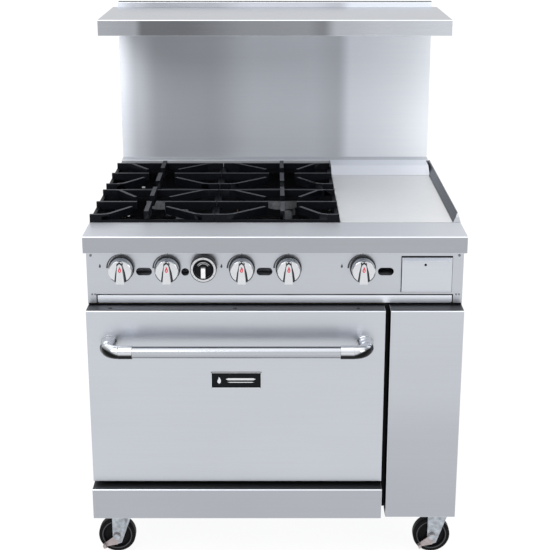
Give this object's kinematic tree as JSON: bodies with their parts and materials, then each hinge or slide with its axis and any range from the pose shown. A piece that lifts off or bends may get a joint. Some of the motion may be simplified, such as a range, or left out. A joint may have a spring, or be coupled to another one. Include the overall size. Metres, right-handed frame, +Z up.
{
  "type": "gas range",
  "caption": "Commercial gas range with open burners under cast grates, a griddle plate, an oven with a drop-down door, a riser with a high shelf, and swivel casters.",
  "frame": {"origin": "on the floor, at the centre of the range's footprint", "axes": "+Z up, the control panel and oven door face -Y, +X to the right as seen from the front"},
  "size_m": [0.926, 0.9384, 1.346],
  "materials": {
    "stainless_panel": "brushed satin",
    "griddle_steel": "ground satin",
    "zinc": "zinc plated",
    "enamel": "vitreous enamel",
    "rack_wire": "bright plated",
    "wool": "mineral wool",
    "tube_steel": "aluminised",
    "brass": "machined",
    "copper": "drawn tube",
    "cast_burner": "raw casting",
    "gasket": "woven glass cord",
    "handle_steel": "polished tube",
    "chrome": "polished",
    "badge_black": "gloss black with bright rim",
    "knob_chrome": "satin chrome",
    "cast_iron": "black enamelled casting",
    "rubber": "moulded"
  },
  "bodies": {
    "range_body": {"base_frame": "zinc", "left_side_panel": "stainless_panel", "right_side_panel": "stainless_panel", "back_panel": "stainless_panel", "front_frame": "enamel", "side_cover": "stainless_panel", "kick_plate": "stainless_panel", "control_panel": "stainless_panel", "front_ledge": "stainless_panel", "burner_box": "enamel", "riser_front": "stainless_panel", "riser_back": "stainless_panel", "high_shelf": "stainless_panel", "griddle_plate": "griddle_steel", "griddle_guard": "stainless_panel", "drawer_housing": "zinc", "oven_liner": "enamel", "oven_deck": "enamel", "rack_guides": "zinc", "oven_racks": "rack_wire", "oven_insulation": "wool", "pipe_burners": "tube_steel", "gas_manifold": "tube_steel", "gas_valves": "brass", "pilot_lines": "copper", "open_burners": "cast_burner", "burner_heads": "cast_burner", "hinge_brackets": "zinc", "panel_screws": "zinc", "caster_plates": "zinc"},
    "door": {"door_outer_pan": "stainless_panel", "door_inner_liner": "stainless_panel", "door_insulation": "wool", "door_gasket": "gasket", "handle_bar": "handle_steel", "handle_elbows": "chrome", "badge_plate": "badge_black", "hinge_arms": "zinc"},
    "grease_drawer": {"grease_drawer": "stainless_panel"},
    "crumb_tray": {"crumb_tray": "stainless_panel"},
    "knob_front_left": {"knob_front_left": "knob_chrome"},
    "knob_rear_left": {"knob_rear_left": "knob_chrome"},
    "knob_front_right": {"knob_front_right": "knob_chrome"},
    "knob_rear_right": {"knob_rear_right": "knob_chrome"},
    "knob_griddle": {"knob_griddle": "knob_chrome"},
    "thermostat_dial": {"thermostat_dial": "knob_chrome"},
    "grate_front_left": {"grate_front_left": "cast_iron"},
    "grate_front_right": {"grate_front_right": "cast_iron"},
    "grate_rear_left": {"grate_rear_left": "cast_iron"},
    "grate_rear_right": {"grate_rear_right": "cast_iron"},
    "fork_front_left": {"fork_front_left": "zinc"},
    "fork_front_right": {"fork_front_right": "zinc"},
    "fork_rear_left": {"fork_rear_left": "zinc"},
    "fork_rear_right": {"fork_rear_right": "zinc"},
    "wheel_front_left": {"wheel_front_left": "rubber"},
    "wheel_front_right": {"wheel_front_right": "rubber"},
    "wheel_rear_left": {"wheel_rear_left": "rubber"},
    "wheel_rear_right": {"wheel_rear_right": "rubber"},
    "brake_front_left": {"brake_front_left": "zinc"},
    "brake_front_right": {"brake_front_right": "zinc"}
  },
  "joints": [
    {"name": "door_hinge", "type": "hinge", "parent": "range_body", "child": "door", "pos_m": [-0.095, -0.37475, 0.256], "axis": [1, 0, 0], "range_deg": [0, 90]},
    {"name": "grease_drawer_slide", "type": "slide", "parent": "range_body", "child": "grease_drawer", "axis": [0, -1, 0], "range_m": [0, 0.26]},
    {"name": "crumb_tray_slide", "type": "slide", "parent": "range_body", "child": "crumb_tray", "axis": [0, -1, 0], "range_m": [0, 0.45]},
    {"name": "knob_front_left_turn", "type": "hinge", "parent": "range_body", "child": "knob_front_left", "pos_m": [-0.372, -0.33875, 0.784], "axis": [0, -1, 0], "range_deg": [0, 90]},
    {"name": "knob_rear_left_turn", "type": "hinge", "parent": "range_body", "child": "knob_rear_left", "pos_m": [-0.26, -0.33875, 0.784], "axis": [0, -1, 0], "range_deg": [0, 90]},
    {"name": "knob_front_right_turn", "type": "hinge", "parent": "range_body", "child": "knob_front_right", "pos_m": [-0.08, -0.33875, 0.784], "axis": [0, -1, 0], "range_deg": [0, 90]},
    {"name": "knob_rear_right_turn", "type": "hinge", "parent": "range_body", "child": "knob_rear_right", "pos_m": [0.033, -0.33875, 0.784], "axis": [0, -1, 0], "range_deg": [0, 90]},
    {"name": "knob_griddle_turn", "type": "hinge", "parent": "range_body", "child": "knob_griddle", "pos_m": [0.213, -0.33875, 0.784], "axis": [0, -1, 0], "range_deg": [0, 90]},
    {"name": "thermostat_turn", "type": "hinge", "parent": "range_body", "child": "thermostat_dial", "pos_m": [-0.1725, -0.33875, 0.787], "axis": [0, 1, 0], "range_deg": [0, 270]},
    {"name": "grate_front_left_lift", "type": "slide", "parent": "range_body", "child": "grate_front_left", "axis": [0, 0, 1], "range_m": [0, 0.05]},
    {"name": "grate_front_right_lift", "type": "slide", "parent": "range_body", "child": "grate_front_right", "axis": [0, 0, 1], "range_m": [0, 0.05]},
    {"name": "grate_rear_left_lift", "type": "slide", "parent": "range_body", "child": "grate_rear_left", "axis": [0, 0, 1], "range_m": [0, 0.05]},
    {"name": "grate_rear_right_lift", "type": "slide", "parent": "range_body", "child": "grate_rear_right", "axis": [0, 0, 1], "range_m": [0, 0.05]},
    {"name": "swivel_front_left", "type": "hinge", "parent": "range_body", "child": "fork_front_left", "pos_m": [-0.394, -0.30575, 0.12], "axis": [0, 0, 1], "continuous": true},
    {"name": "roll_front_left", "type": "hinge", "parent": "fork_front_left", "child": "wheel_front_left", "pos_m": [-0.412, -0.30575, 0.048], "axis": [0, 1, 0], "continuous": true},
    {"name": "swivel_front_right", "type": "hinge", "parent": "range_body", "child": "fork_front_right", "pos_m": [0.426, -0.30575, 0.12], "axis": [0, 0, 1], "continuous": true},
    {"name": "roll_front_right", "type": "hinge", "parent": "fork_front_right", "child": "wheel_front_right", "pos_m": [0.408, -0.30575, 0.048], "axis": [0, 1, 0], "continuous": true},
    {"name": "swivel_rear_left", "type": "hinge", "parent": "range_body", "child": "fork_rear_left", "pos_m": [-0.394, 0.37925, 0.12], "axis": [0, 0, 1], "continuous": true},
    {"name": "roll_rear_left", "type": "hinge", "parent": "fork_rear_left", "child": "wheel_rear_left", "pos_m": [-0.412, 0.37925, 0.048], "axis": [0, 1, 0], "continuous": true},
    {"name": "swivel_rear_right", "type": "hinge", "parent": "range_body", "child": "fork_rear_right", "pos_m": [0.426, 0.37925, 0.12], "axis": [0, 0, 1], "continuous": true},
    {"name": "roll_rear_right", "type": "hinge", "parent": "fork_rear_right", "child": "wheel_rear_right", "pos_m": [0.408, 0.37925, 0.048], "axis": [0, 1, 0], "continuous": true},
    {"name": "brake_front_left_pedal", "type": "hinge", "parent": "fork_front_left", "child": "brake_front_left", "pos_m": [-0.412, -0.32625, 0.048], "axis": [0, 1, 0], "range_deg": [0, 20]},
    {"name": "brake_front_right_pedal", "type": "hinge", "parent": "fork_front_right", "child": "brake_front_right", "pos_m": [0.408, -0.32625, 0.048], "axis": [0, 1, 0], "range_deg": [0, 20]}
  ]
}
